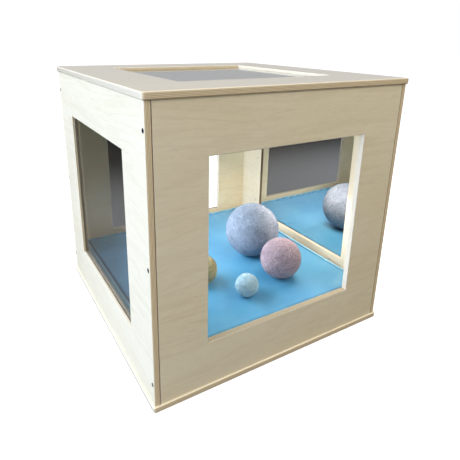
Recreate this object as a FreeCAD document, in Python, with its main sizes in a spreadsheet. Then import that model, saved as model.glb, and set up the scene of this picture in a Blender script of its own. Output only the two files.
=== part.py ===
"""Mirror play cube: a plywood box with two open windows, mirror panes, a floor mat and felt balls.

The origin is the centre of the base board's underside. +Z is up, the front panel faces -Y.
Each wall is drawn flat, on its inner face: local Z points into the cube, local Y is the wall's height.
"""
import FreeCAD
import Part
import Sketcher
import math
import os

Vector = FreeCAD.Vector

# Driving dimensions in millimetres: alias, value, meaning.
SIZES = (
    ("board_side", 700, "side of the base board and the top board"),
    ("board_corner", 6, "corner radius of the boards, seen from above"),
    ("board_round", 3, "rounding along the boards' edges"),
    ("overhang", 4, "how far the boards stand out past the walls"),
    ("ply", 15, "thickness of every board and wall"),
    ("wall_height", 660, "height of the four walls"),
    ("wall_round", 3.5, "rounding along the side panels' upright edges"),
    ("butt_gap", 0.2, "gap where a front or back panel meets a side panel"),
    ("window", 430, "side of each square window"),
    ("window_round", 1.5, "rounding along a window's rim"),
    ("pane_thick", 3, "thickness of a mirror pane"),
    ("pane_overlap", 8, "how far a pane reaches behind the plywood left in front of it"),
    ("pane_gap", 0.5, "clearance around a pane"),
    ("strip_thick", 5, "thickness of a retaining strip"),
    ("strip_width", 38, "width of a retaining strip"),
    ("strip_gap", 0.2, "clearance around a strip and in its mitres"),
    ("strip_screw_inset", 22, "window rim to the strip screws"),
    ("strip_screw_pitch", 170, "spacing of the screws in a strip"),
    ("strip_screw_head", 6, "head diameter of a strip screw"),
    ("strip_screw_shank", 2.9, "shank diameter of a strip screw"),
    ("strip_screw_long", 12, "length of a strip screw"),
    ("strip_screw_drive", 2.2, "width over corners of its square socket"),
    ("panel_screw_pitch", 276, "spacing of the screws along an upright edge"),
    ("base_screw_pitch", 250, "spacing of the screws and dowels along a wall"),
    ("screw_head", 10, "head diameter of a panel screw"),
    ("screw_shank", 4.9, "shank diameter of a panel screw"),
    ("screw_long", 50, "length of a panel screw"),
    ("screw_drive", 4.6, "width over corners of its hexagon socket"),
    ("hole_play", 0.1, "added to a shank's diameter for its hole"),
    ("pilot_spare", 1, "spare depth of a pilot hole past its screw's tip"),
    ("dowel_wide", 8, "diameter of a dowel"),
    ("dowel_long", 30, "length of a dowel"),
    ("dowel_up", 10, "length of a dowel inside the top board"),
    ("dowel_bevel", 1, "bevel at a dowel's ends"),
    ("dowel_play", 0.5, "spare depth at each end of a dowel"),
    ("mat_side", 656, "side of the square floor mat"),
    ("mat_height", 100, "height of the floor mat"),
    ("mat_gap", 0.3, "gap under the mat"),
    ("mat_corner", 12, "corner radius of the mat, seen from above"),
    ("mat_round", 6, "rounding along the mat's upper edge"),
    ("cover_thick", 1.2, "thickness of the mat's cover"),
    ("zip_long", 560, "length of the mat's zip"),
    ("zip_wide", 8, "width of the mat's zip"),
    ("zip_height", 30, "height of the zip above the mat's underside"),
    ("slider_long", 14, "length of the zip's slider"),
    ("slider_wide", 7.2, "width of the slider"),
    ("slider_round", 0.4, "rounding of the slider's outer edges"),
    ("slider_thick", 1.4, "how far the slider stands out of the zip"),
    ("ball_gap", 0.3, "gap under a ball"),
)

# Felt balls: label, radius, and the place of the centre in plan.
BALLS = (
    ("felt_ball_blue", 84, 126.5, -27),
    ("felt_ball_pink", 59, 119, -182),
    ("felt_ball_yellow", 43, -97, -104),
    ("felt_ball_mint", 32, -22, -217),
)

# Lengths that several pieces share, as expressions of the sheet's cells.
HALF_OUTER = "(Sizes.board_side / 2 - Sizes.overhang)"
HALF_INNER = "(" + HALF_OUTER + " - Sizes.ply)"
WALL_LINE = "(" + HALF_OUTER + " - Sizes.ply / 2)"
WALL_MIDDLE = "(Sizes.ply + Sizes.wall_height / 2)"
CEILING = "(Sizes.ply + Sizes.wall_height)"
SIDE_WIDTH = "(2 * " + HALF_OUTER + ")"
FRONT_WIDTH = "(2 * (" + HALF_INNER + " - Sizes.butt_gap))"
PILOT = "((Sizes.screw_shank + Sizes.hole_play) / 2)"
DOWEL_HOLE = "((Sizes.dowel_wide + Sizes.hole_play) / 2)"
MAT_FLOOR = "(Sizes.ply + Sizes.mat_gap)"
MAT_TOP = "(Sizes.ply + Sizes.mat_gap + Sizes.mat_height)"

CLOSE = 0.01      # mm: points nearer than this count as being on a face
LEAST_CUT = 1     # mm3: a cutting feature has to take away at least this much

# How a sketch is turned in its plane: facing the other way, and also with its rows running upwards.
FACING_OUT = FreeCAD.Rotation(Vector(1, 0, 0), 180)
FACING_OUT_UPRIGHT = FACING_OUT.multiply(FreeCAD.Rotation(Vector(0, 0, 1), 90))

doc = FreeCAD.newDocument("mirror_cube")
pieces = []


def make_sheet():
    """Put the driving dimensions in the document's spreadsheet."""
    sheet = doc.addObject("Spreadsheet::Sheet", "Sizes")
    row = 0
    for alias, value, meaning in SIZES:
        row += 1
        sheet.set("A%d" % row, meaning)
        sheet.set("B%d" % row, str(value))
        sheet.setAlias("B%d" % row, alias)
    for label, radius, x, y in BALLS:
        for suffix, value in (("radius", radius), ("x", x), ("y", y)):
            row += 1
            sheet.set("A%d" % row, label + " " + suffix)
            sheet.set("B%d" % row, str(value))
            sheet.setAlias("B%d" % row, label + "_" + suffix)
    doc.recompute()
    return sheet


sheet = make_sheet()


def size(alias):
    """Read one driving dimension from the sheet."""
    return float(sheet.get(alias))


def new_body(label):
    """Start a sub-part."""
    body = doc.addObject("PartDesign::Body", label)
    body.Label = label
    pieces.append(body)
    return body


def place(piece, x="0", y="0", z="0", rotation=None):
    """Turn a piece, then bind its position to the sheet."""
    if rotation:
        piece.Placement = FreeCAD.Placement(Vector(), rotation)
    for axis, expression in (("x", x), ("y", y), ("z", z)):
        piece.setExpression("Placement.Base." + axis, expression)


def turn(x_axis, z_axis):
    """Rotation that carries local X and Z onto two directions of the cube's frame."""
    x_axis = Vector(*x_axis)
    z_axis = Vector(*z_axis)
    return FreeCAD.Rotation(x_axis, z_axis.cross(x_axis), z_axis, "ZXY")


def origin_feature(body, role):
    """Find an origin plane or axis of a body by its role."""
    for feature in body.Origin.OriginFeatures:
        if feature.Role == role:
            return feature
    raise ValueError(role)


def new_sketch(body, name, role="XY_Plane", shift=(None, None, None), facing=None):
    """Attach a sketch to an origin plane, moved by expressions along the plane's own axes."""
    sketch = body.newObject("Sketcher::SketchObject", body.Label + "_" + name)
    sketch.AttachmentSupport = [(origin_feature(body, role), "")]
    sketch.MapMode = "FlatFace"
    if facing:
        sketch.AttachmentOffset = FreeCAD.Placement(Vector(), facing)
    for axis, expression in zip("xyz", shift):
        if expression:
            sketch.setExpression("AttachmentOffset.Base." + axis, expression)
    return sketch


def bind(sketch, name, expression, *constraint):
    """Add a dimension and bind it to an expression of the sheet."""
    index = sketch.addConstraint(Sketcher.Constraint(*constraint))
    sketch.renameConstraint(index, name)
    sketch.setExpression("Constraints." + name, expression)


def closed_outline(sketch, points):
    """Draw a closed outline of straight lines and return the first line's index.

    Where dimensions follow, the points only say how the outline lies before they are solved.
    """
    first = sketch.GeometryCount
    count = len(points)
    for step in range(count):
        start = Vector(*points[step], 0)
        end = Vector(*points[(step + 1) % count], 0)
        sketch.addGeometry(Part.LineSegment(start, end), False)
    for step in range(count):
        after = first + (step + 1) % count
        sketch.addConstraint(Sketcher.Constraint("Coincident", first + step, 2, after, 1))
    return first


def centred_rectangle(sketch, width, height):
    """Rectangle about the sketch's origin."""
    first = closed_outline(sketch, ((-9, -9), (9, -9), (9, 9), (-9, 9)))
    for line, kind in enumerate(("Horizontal", "Vertical") * 2):
        sketch.addConstraint(Sketcher.Constraint(kind, first + line))
    sketch.addConstraint(Sketcher.Constraint("Symmetric", first, 1, first + 2, 1, -1, 1))
    bind(sketch, "width", width, "DistanceX", first, 1, first, 2, 18)
    bind(sketch, "height", height, "DistanceY", first + 1, 1, first + 1, 2, 18)


def circle_row(sketch, radius, pitch, across):
    """Three circles in a row along the sketch's X, at a signed distance from that axis."""
    for index, side in enumerate((-1, 0, 1)):
        centre = Vector(side * 100, -100, 0)
        circle = sketch.addGeometry(Part.Circle(centre, Vector(0, 0, 1), 2), False)
        bind(sketch, "radius%d" % index, radius, "Radius", circle, 2)
        bind(sketch, "across%d" % index, across, "DistanceY", -1, 1, circle, 3, -100)
        if side:
            along = "%d * %s" % (side, pitch)
            bind(sketch, "along%d" % index, along, "DistanceX", -1, 1, circle, 3, centre.x)
        else:
            sketch.addConstraint(Sketcher.Constraint("PointOnObject", circle, 3, -2))


def regular_polygon(sketch, sides, over_corners):
    """Regular polygon about the sketch's origin, with a corner on its X axis."""
    points = []
    for corner in range(sides):
        angle = 2 * math.pi * corner / sides
        points.append((3 * math.cos(angle), 3 * math.sin(angle)))
    first = closed_outline(sketch, points)
    ring = sketch.addGeometry(Part.Circle(Vector(), Vector(0, 0, 1), 3), True)
    sketch.addConstraint(Sketcher.Constraint("Coincident", ring, 3, -1, 1))
    sketch.addConstraint(Sketcher.Constraint("PointOnObject", first, 1, -1))
    for line in range(sides):
        sketch.addConstraint(Sketcher.Constraint("PointOnObject", first + line, 1, ring))
        if line:
            sketch.addConstraint(Sketcher.Constraint("Equal", first, first + line))
    bind(sketch, "reach", over_corners + " / 2", "Radius", ring, 3)


def add_pad(body, sketch, length, downwards=False):
    """Extrude a sketch into a solid."""
    pad = body.newObject("PartDesign::Pad", sketch.Name + "_pad")
    pad.Profile = sketch
    pad.Reversed = downwards
    pad.setExpression("Length", length)
    doc.recompute()
    return pad


def must_cut(body, feature, before):
    """Stop if a cutting feature left the solid as it was."""
    doc.recompute()
    if feature.Shape.Volume > before - LEAST_CUT:
        raise RuntimeError(feature.Name + " cuts nothing")
    body.Tip = feature
    return feature


def add_pocket(body, sketch, depth=None, reverse=False):
    """Cut a sketch out of the body: to a depth, or right through."""
    before = body.Shape.Volume
    pocket = body.newObject("PartDesign::Pocket", sketch.Name + "_cut")
    pocket.Profile = sketch
    pocket.Reversed = reverse
    if depth:
        pocket.setExpression("Length", depth)
    else:
        pocket.Type = "ThroughAll"
        pocket.Midplane = True
    return must_cut(body, pocket, before)


def add_screw_holes(body, sketch, shank, head):
    """Drill clearance holes right through, countersunk for the screws' heads."""
    doc.recompute()
    before = body.Shape.Volume
    hole = body.newObject("PartDesign::Hole", sketch.Name + "_hole")
    hole.Profile = sketch
    doc.recompute()
    hole.DepthType = "ThroughAll"
    hole.setExpression("Diameter", shank + " + Sizes.hole_play")
    hole.HoleCutType = "Countersink"
    hole.HoleCutCustomValues = True
    hole.HoleCutCountersinkAngle = 90
    hole.setExpression("HoleCutDiameter", head)
    return must_cut(body, hole, before)


def add_fillet(body, edges, radius):
    """Round the named edges of the body's last feature."""
    base = body.Tip
    fillet = body.newObject("PartDesign::Fillet", body.Label + "_round")
    fillet.Base = (base, edges)
    fillet.setExpression("Radius", radius)
    doc.recompute()
    body.Tip = fillet
    return fillet


def edges_where(shape, wanted):
    """Names of the edges whose ends and middle all meet a condition."""
    names = []
    for number, edge in enumerate(shape.Edges, 1):
        points = [vertex.Point for vertex in edge.Vertexes]
        points.append(edge.valueAt((edge.FirstParameter + edge.LastParameter) / 2))
        if all(wanted(point) for point in points):
            names.append("Edge%d" % number)
    return names


def quarter_pattern(body, original, count=4):
    """Repeat a feature around the body's Z axis."""
    pattern = body.newObject("PartDesign::PolarPattern", original.Name + "_around")
    pattern.Originals = [original]
    pattern.Axis = (origin_feature(body, "Z_Axis"), [""])
    pattern.Angle = 360
    pattern.Occurrences = count
    body.Tip = pattern
    doc.recompute()
    return pattern


def row_pattern(body, originals, axis_role, length):
    """Repeat features three times along one of the body's axes."""
    pattern = body.newObject("PartDesign::LinearPattern", originals[0].Name + "_row")
    pattern.Originals = originals
    pattern.Direction = (origin_feature(body, axis_role), [""])
    pattern.setExpression("Length", length)
    pattern.Occurrences = 3
    body.Tip = pattern
    doc.recompute()
    return pattern


def body_pattern(body, count):
    """Repeat the whole body around its Z axis, as separate solids."""
    pattern = body.newObject("PartDesign::PolarPattern", body.Label + "_around")
    pattern.TransformMode = "Whole shape"
    pattern.Axis = (origin_feature(body, "Z_Axis"), [""])
    pattern.Angle = 360
    pattern.Occurrences = count
    body.Tip = pattern
    doc.recompute()
    return pattern


# ---------------------------------------------------------------- boards and walls

def sheet_of_plywood(label, width, height):
    """Flat board below its inner face, which is the local plane Z = 0."""
    body = new_body(label)
    outline = new_sketch(body, "outline")
    centred_rectangle(outline, width, height)
    add_pad(body, outline, "Sizes.ply", downwards=True)
    return body


def round_board(body):
    """Round a board's four corners, then its upper and lower edges."""
    half = size("board_side") / 2

    def upright(point):
        return abs(abs(point.x) - half) < CLOSE and abs(abs(point.y) - half) < CLOSE

    add_fillet(body, edges_where(body.Shape, upright), "Sizes.board_corner")
    low = body.Shape.BoundBox.ZMin
    high = body.Shape.BoundBox.ZMax

    def level(point):
        return abs(point.z - low) < CLOSE or abs(point.z - high) < CLOSE

    # The rim and the corner arcs are tangent, so one edge of each loop leads to the rest.
    add_fillet(body, edges_where(body.Shape, level), "Sizes.board_round")


def round_uprights(body):
    """Round the upright edges of a side panel."""
    half = size("board_side") / 2 - size("overhang")

    def upright(point):
        on_face = abs(point.z) < CLOSE or abs(point.z + size("ply")) < CLOSE
        return on_face and abs(abs(point.x) - half) < CLOSE

    add_fillet(body, edges_where(body.Shape, upright), "Sizes.wall_round")


def cut_window(body, both_faces):
    """Cut the window right through and round its rim."""
    opening = new_sketch(body, "window")
    centred_rectangle(opening, "Sizes.window", "Sizes.window")
    add_pocket(body, opening)
    half = size("window") / 2
    outer = -size("ply")

    def rim(point):
        on_face = abs(point.z - outer) < CLOSE or (both_faces and abs(point.z) < CLOSE)
        inside = max(abs(point.x), abs(point.y))
        return on_face and abs(inside - half) < CLOSE

    add_fillet(body, edges_where(body.Shape, rim), "Sizes.window_round")


def cut_rebates(body):
    """Step the window's inner side: a deep rebate for the pane, a shallow one for the strips."""
    steps = (("pane_rebate", "pane_overlap", "Sizes.pane_thick + Sizes.strip_thick"),
             ("strip_rebate", "strip_width", "Sizes.strip_thick"))
    for name, reach, depth in steps:
        rebate = new_sketch(body, name)
        side = "Sizes.window + 2 * Sizes.%s" % reach
        centred_rectangle(rebate, side, side)
        add_pocket(body, rebate, depth)
    pilots = new_sketch(body, "strip_pilots")
    radius = "(Sizes.strip_screw_shank + Sizes.hole_play) / 2"
    inset = "-(Sizes.window / 2 + Sizes.strip_screw_inset)"
    circle_row(pilots, radius, "Sizes.strip_screw_pitch", inset)
    drilled = add_pocket(body, pilots, "Sizes.strip_screw_long + Sizes.pilot_spare")
    quarter_pattern(body, drilled)


def drill_wall_ends(body):
    """Blind holes in a wall's ends: dowels above, screws below."""
    dowels = new_sketch(body, "dowel_holes", "XZ_Plane", (None, None, "-Sizes.wall_height / 2"))
    circle_row(dowels, DOWEL_HOLE, "Sizes.base_screw_pitch", "-Sizes.ply / 2")
    add_pocket(body, dowels, "Sizes.dowel_long - Sizes.dowel_up + Sizes.dowel_play", reverse=True)
    screws = new_sketch(body, "base_pilots", "XZ_Plane", (None, None, "Sizes.wall_height / 2"))
    circle_row(screws, PILOT, "Sizes.base_screw_pitch", "-Sizes.ply / 2")
    add_pocket(body, screws, "Sizes.screw_long - Sizes.ply + Sizes.pilot_spare")


def make_side_panel(label, placement):
    """Full-depth side wall with a glazed window and countersunk holes near its upright edges."""
    body = sheet_of_plywood(label, SIDE_WIDTH, "Sizes.wall_height")
    round_uprights(body)
    cut_window(body, both_faces=False)
    cut_rebates(body)
    drill_wall_ends(body)
    for name, side in (("near_screws", "-"), ("far_screws", "")):
        column = new_sketch(body, name, shift=(None, None, "-Sizes.ply"), facing=FACING_OUT_UPRIGHT)
        circle_row(column, "2", "Sizes.panel_screw_pitch", side + WALL_LINE)
        add_screw_holes(body, column, "Sizes.screw_shank", "Sizes.screw_head")
    place(body, **placement)


def make_end_panel(label, placement):
    """Front or back wall: an open window, and pilot holes in its upright edges."""
    body = sheet_of_plywood(label, FRONT_WIDTH, "Sizes.wall_height")
    cut_window(body, both_faces=True)
    drill_wall_ends(body)
    for name, side, reverse in (("left_pilots", "-", True), ("right_pilots", "", False)):
        shift = (None, None, side + FRONT_WIDTH + " / 2")
        column = new_sketch(body, name, "YZ_Plane", shift)
        circle_row(column, PILOT, "Sizes.panel_screw_pitch", "-Sizes.ply / 2")
        add_pocket(body, column, "Sizes.screw_long - Sizes.ply + Sizes.pilot_spare", reverse)
    place(body, **placement)


def make_base_board():
    """Floor board, screwed to the walls from below."""
    body = sheet_of_plywood("base_board", "Sizes.board_side", "Sizes.board_side")
    round_board(body)
    holes = new_sketch(body, "screw_holes", shift=(None, None, "-Sizes.ply"), facing=FACING_OUT)
    circle_row(holes, "2", "Sizes.base_screw_pitch", WALL_LINE)
    drilled = add_screw_holes(body, holes, "Sizes.screw_shank", "Sizes.screw_head")
    quarter_pattern(body, drilled)
    place(body, z="Sizes.ply")


def make_top_board():
    """Roof board with a glazed window, held on dowels."""
    body = sheet_of_plywood("top_board", "Sizes.board_side", "Sizes.board_side")
    round_board(body)
    cut_window(body, both_faces=False)
    cut_rebates(body)
    holes = new_sketch(body, "dowel_holes")
    circle_row(holes, DOWEL_HOLE, "Sizes.base_screw_pitch", "-" + WALL_LINE)
    drilled = add_pocket(body, holes, "Sizes.dowel_up + Sizes.dowel_play")
    quarter_pattern(body, drilled)
    place(body, z=CEILING, rotation=TOP_TURN)


# ---------------------------------------------------------------- mirror panes and strips

def make_pane(label, placement):
    """Square mirror pane, held between the lip and the strips."""
    body = new_body(label)
    outline = new_sketch(body, "outline", shift=(None, None, "-Sizes.strip_thick"))
    side = "Sizes.window + 2 * (Sizes.pane_overlap - Sizes.pane_gap)"
    centred_rectangle(outline, side, side)
    add_pad(body, outline, "Sizes.pane_thick", downwards=True)
    place(body, **placement)


def make_strip(label, placement, quarter):
    """Mitred retaining strip, drawn below the window and turned about its centre."""
    body = new_body(label)
    outline = new_sketch(body, "outline")
    first = closed_outline(outline, ((-20, -20), (20, -20), (9, -9), (-9, -9)))
    outline.addConstraint(Sketcher.Constraint("Symmetric", first, 1, first, 2, -2))
    outline.addConstraint(Sketcher.Constraint("Symmetric", first + 2, 1, first + 2, 2, -2))
    reach = "(Sizes.window / 2 + Sizes.strip_width - Sizes.strip_gap)"
    bind(outline, "outer_long", "2 * (%s - Sizes.strip_gap)" % reach, "DistanceX", first, 1, first, 2, 40)
    inner_long = "Sizes.window - 2 * Sizes.strip_gap"
    bind(outline, "inner_long", inner_long, "DistanceX", first + 2, 2, first + 2, 1, 18)
    bind(outline, "outer_place", "-" + reach, "DistanceY", -1, 1, first, 1, -20)
    bind(outline, "inner_place", "-Sizes.window / 2", "DistanceY", -1, 1, first + 2, 2, -9)
    add_pad(body, outline, "Sizes.strip_thick", downwards=True)
    holes = new_sketch(body, "screw_holes")
    inset = "-(Sizes.window / 2 + Sizes.strip_screw_inset)"
    circle_row(holes, "1", "Sizes.strip_screw_pitch", inset)
    add_screw_holes(body, holes, "Sizes.strip_screw_shank", "Sizes.strip_screw_head")
    turned = dict(placement)
    spin = FreeCAD.Rotation(Vector(0, 0, 1), 90 * quarter)
    turned["rotation"] = placement["rotation"].multiply(spin)
    place(body, **turned)


def revolve_profile(body, points, shift):
    """Spin a profile in the body's XZ plane about an upright axis at the shifted place."""
    profile = new_sketch(body, "profile", "XZ_Plane", shift)
    closed_outline(profile, points)
    turned = body.newObject("PartDesign::Revolution", body.Label + "_turned")
    turned.Profile = profile
    turned.ReferenceAxis = (profile, ["V_Axis"])
    turned.Angle = 360
    doc.recompute()
    body.Tip = turned
    return turned


def add_screw(body, kind, sides, shift):
    """One countersunk wood screw, head upwards at Z = 0, with a polygonal socket."""
    head = size(kind + "_head") / 2
    shank = size(kind + "_shank") / 2
    length = size(kind + "_long")
    bevel = head - shank
    profile = ((0, 0), (head, 0), (shank, -bevel), (shank, shank - length), (0, -length))
    turned = revolve_profile(body, profile, shift)
    # The flat sketch takes the same shift, written along its own axes.
    along, up, out = shift
    flat_shift = (along, "-" + out if out else None, up)
    socket = new_sketch(body, "socket", shift=flat_shift)
    regular_polygon(socket, sides, "Sizes.%s_drive" % kind)
    cut = add_pocket(body, socket, "Sizes.%s_drive / 2" % kind)
    return [turned, cut]


def make_strip_screws(label, placement):
    """Twelve small screws, three in each strip of one window."""
    body = new_body(label)
    inset = "(Sizes.window / 2 + Sizes.strip_screw_inset)"
    shift = ("-Sizes.strip_screw_pitch", None, inset)
    screw = add_screw(body, "strip_screw", 4, shift)
    row_pattern(body, screw, "X_Axis", "2 * Sizes.strip_screw_pitch")
    body_pattern(body, 4)
    place(body, **placement)


def make_panel_screws(label, side, depth):
    """Three screws in a column, through a side panel into the edge of a front or back panel."""
    body = new_body(label)
    screw = add_screw(body, "screw", 6, ("-Sizes.panel_screw_pitch", None, None))
    row_pattern(body, screw, "X_Axis", "2 * Sizes.panel_screw_pitch")
    place(body, x="%d * %s" % (side, HALF_OUTER), y="%d * %s" % (depth, WALL_LINE), z=WALL_MIDDLE,
          rotation=turn((0, 0, 1), (side, 0, 0)))


def make_base_screws():
    """Twelve screws up through the base board, three into each wall."""
    body = new_body("base_screws")
    screw = add_screw(body, "screw", 6, ("-Sizes.base_screw_pitch", None, WALL_LINE))
    row_pattern(body, screw, "X_Axis", "2 * Sizes.base_screw_pitch")
    body_pattern(body, 4)
    place(body, rotation=turn((1, 0, 0), (0, 0, -1)))


def make_top_dowels():
    """Twelve bevelled dowels, three between each wall and the top board."""
    body = new_body("top_dowels")
    radius = size("dowel_wide") / 2
    neck = radius - size("dowel_bevel")
    top = size("dowel_up")
    foot = top - size("dowel_long")
    bevel = size("dowel_bevel")
    upper = ((0, top), (neck, top), (radius, top - bevel))
    lower = ((radius, foot + bevel), (neck, foot), (0, foot))
    profile = upper + lower
    dowel = revolve_profile(body, profile, ("-Sizes.base_screw_pitch", None, WALL_LINE))
    row_pattern(body, [dowel], "X_Axis", "2 * Sizes.base_screw_pitch")
    body_pattern(body, 4)
    place(body, z=CEILING)


# ---------------------------------------------------------------- floor mat

def cushion_block(label, side, height, corner, upper_round):
    """Square block standing on its local Z = 0, rounded at its corners and upper edge."""
    body = new_body(label)
    outline = new_sketch(body, "outline")
    centred_rectangle(outline, side, side)
    add_pad(body, outline, height)
    half = body.Shape.BoundBox.XMax
    top = body.Shape.BoundBox.ZMax

    def upright(point):
        return abs(abs(point.x) - half) < CLOSE and abs(abs(point.y) - half) < CLOSE

    add_fillet(body, edges_where(body.Shape, upright), corner)
    if upper_round:
        add_fillet(body, edges_where(body.Shape, lambda point: abs(point.z - top) < CLOSE), upper_round)
    return body


def make_mat():
    """Foam core in a sewn cover that is open below, closed by a sheet; a zip runs along its back."""
    inset = " - 2 * Sizes.cover_thick"
    core_height = "Sizes.mat_height" + inset
    core = cushion_block("mat_core", "Sizes.mat_side" + inset, core_height,
                         "Sizes.mat_corner - Sizes.cover_thick", "Sizes.mat_round - Sizes.cover_thick")
    place(core, z=MAT_FLOOR + " + Sizes.cover_thick")

    cover = cushion_block("mat_cover", "Sizes.mat_side", "Sizes.mat_height - Sizes.cover_thick",
                          "Sizes.mat_corner", "Sizes.mat_round")
    underside = []
    for number, face in enumerate(cover.Shape.Faces, 1):
        if abs(face.CenterOfMass.z) < CLOSE:
            underside.append("Face%d" % number)
    block = cover.Tip
    hollow = cover.newObject("PartDesign::Thickness", "mat_cover_hollow")
    hollow.Base = (block, underside)
    hollow.setExpression("Value", "Sizes.cover_thick")
    hollow.Reversed = True
    doc.recompute()
    cover.Tip = hollow
    slot = new_sketch(cover, "zip_slot", "XZ_Plane",
                      (None, "Sizes.zip_height - Sizes.cover_thick", "-Sizes.mat_side / 2"))
    centred_rectangle(slot, "Sizes.zip_long", "Sizes.zip_wide")
    add_pocket(cover, slot, "2 * Sizes.cover_thick", reverse=True)
    place(cover, z=MAT_FLOOR + " + Sizes.cover_thick")

    sheet_below = cushion_block("mat_base_sheet", "Sizes.mat_side", "Sizes.cover_thick",
                                "Sizes.mat_corner", None)
    place(sheet_below, z=MAT_FLOOR)

    zip_body = new_body("mat_zip")
    chain = new_sketch(zip_body, "chain", "XZ_Plane")
    centred_rectangle(chain, "Sizes.zip_long", "Sizes.zip_wide")
    add_pad(zip_body, chain, "Sizes.cover_thick")
    place(zip_body, y="Sizes.mat_side / 2", z=MAT_FLOOR + " + Sizes.zip_height")

    slider = new_body("mat_zip_slider")
    plate = new_sketch(slider, "plate", "XZ_Plane")
    centred_rectangle(plate, "Sizes.slider_long", "Sizes.slider_wide")
    add_pad(slider, plate, "Sizes.slider_thick", downwards=True)
    rear = slider.Shape.BoundBox.YMax
    add_fillet(slider, edges_where(slider.Shape, lambda point: abs(point.y - rear) < CLOSE),
               "Sizes.slider_round")
    place(slider, x="Sizes.zip_long / 2 - Sizes.slider_long", y="Sizes.mat_side / 2",
          z=MAT_FLOOR + " + Sizes.zip_height")


# ---------------------------------------------------------------- felt balls

def make_ball(label):
    """Solid felt ball that rests on the mat."""
    ball = doc.addObject("Part::Sphere", label)
    ball.Label = label
    radius = "Sizes.%s_radius" % label
    ball.setExpression("Radius", radius)
    place(ball, x="Sizes.%s_x" % label, y="Sizes.%s_y" % label,
          z=MAT_TOP + " + Sizes.ball_gap + " + radius)
    pieces.append(ball)


# ---------------------------------------------------------------- assembly

TOP_TURN = turn((1, 0, 0), (0, 0, -1))
LEFT_WALL = {"x": "-" + HALF_INNER, "z": WALL_MIDDLE, "rotation": turn((0, 1, 0), (1, 0, 0))}
RIGHT_WALL = {"x": HALF_INNER, "z": WALL_MIDDLE, "rotation": turn((0, -1, 0), (-1, 0, 0))}
FRONT_WALL = {"y": "-" + HALF_INNER, "z": WALL_MIDDLE, "rotation": turn((-1, 0, 0), (0, 1, 0))}
BACK_WALL = {"y": HALF_INNER, "z": WALL_MIDDLE, "rotation": turn((1, 0, 0), (0, -1, 0))}
ROOF = {"z": CEILING, "rotation": TOP_TURN}

# Each glazed window's strips in quarter turns from the one below the window's centre.
WINDOWS = (
    ("left", LEFT_WALL, ("bottom", "rear", "top", "front")),
    ("right", RIGHT_WALL, ("bottom", "front", "top", "rear")),
    ("top", ROOF, ("rear", "right", "front", "left")),
)

make_base_board()
make_top_board()
make_side_panel("left_panel", LEFT_WALL)
make_side_panel("right_panel", RIGHT_WALL)
make_end_panel("front_panel", FRONT_WALL)
make_end_panel("back_panel", BACK_WALL)

for window, placement, strip_names in WINDOWS:
    make_pane(window + "_mirror_pane", placement)
    for quarter, strip_name in enumerate(strip_names):
        make_strip("%s_strip_%s" % (window, strip_name), placement, quarter)
    make_strip_screws(window + "_strip_screws", placement)

for side_name, side in (("left", -1), ("right", 1)):
    for depth_name, depth in (("front", -1), ("rear", 1)):
        make_panel_screws("%s_%s_screws" % (side_name, depth_name), side, depth)
make_base_screws()
make_top_dowels()
make_mat()
for label, radius, x, y in BALLS:
    make_ball(label)

doc.recompute()
for item in doc.Objects:
    if "Invalid" in item.State or "Error" in item.State:
        raise RuntimeError("%s failed: %s" % (item.Name, item.State))
for piece in pieces:
    if piece.Shape.isNull() or not piece.Shape.isValid():
        raise RuntimeError(piece.Label + " has no valid shape")

os.makedirs("parts", exist_ok=True)
for piece in pieces:
    piece.Shape.exportStep(os.path.join("parts", piece.Label + ".step"))
    box = piece.Shape.BoundBox
    print("%-20s %2d solids %12.0f mm3  x %.1f..%.1f  y %.1f..%.1f  z %.1f..%.1f" % (
        piece.Label, len(piece.Shape.Solids), piece.Shape.Volume,
        box.XMin, box.XMax, box.YMin, box.YMax, box.ZMin, box.ZMax))
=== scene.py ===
import math

import bmesh
import bpy
import numpy as np
from mathutils import Matrix, Vector
from mathutils.kdtree import KDTree


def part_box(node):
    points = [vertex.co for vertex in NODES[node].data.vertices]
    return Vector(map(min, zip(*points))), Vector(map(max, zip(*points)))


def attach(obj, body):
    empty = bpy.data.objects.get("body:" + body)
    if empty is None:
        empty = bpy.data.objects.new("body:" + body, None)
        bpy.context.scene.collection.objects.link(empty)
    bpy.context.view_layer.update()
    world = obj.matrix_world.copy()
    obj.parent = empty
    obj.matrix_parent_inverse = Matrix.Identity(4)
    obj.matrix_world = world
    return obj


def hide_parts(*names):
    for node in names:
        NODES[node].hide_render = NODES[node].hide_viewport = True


# The looks of a plywood play cube: lacquered plywood, one-way mirror panes, a sewn floor mat and felt balls.
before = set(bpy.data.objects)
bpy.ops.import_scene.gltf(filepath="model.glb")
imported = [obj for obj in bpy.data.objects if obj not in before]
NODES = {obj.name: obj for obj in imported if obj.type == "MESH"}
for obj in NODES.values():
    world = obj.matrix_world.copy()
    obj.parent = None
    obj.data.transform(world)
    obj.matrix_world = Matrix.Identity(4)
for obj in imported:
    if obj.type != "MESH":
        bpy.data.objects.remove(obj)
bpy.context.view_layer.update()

MM = 0.001
X, Y, Z = 0, 1, 2


# ---------------------------------------------------------------- camera

CAMERA_PLACE = (-0.6118, -1.0367, 0.7777)
CAMERA_ANGLES = (-30.82, 17.78, 0.83)     # azimuth, elevation and roll, in degrees
CAMERA_LENS = 33.57
CAMERA_SHIFT = (0.030, -0.119)


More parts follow.
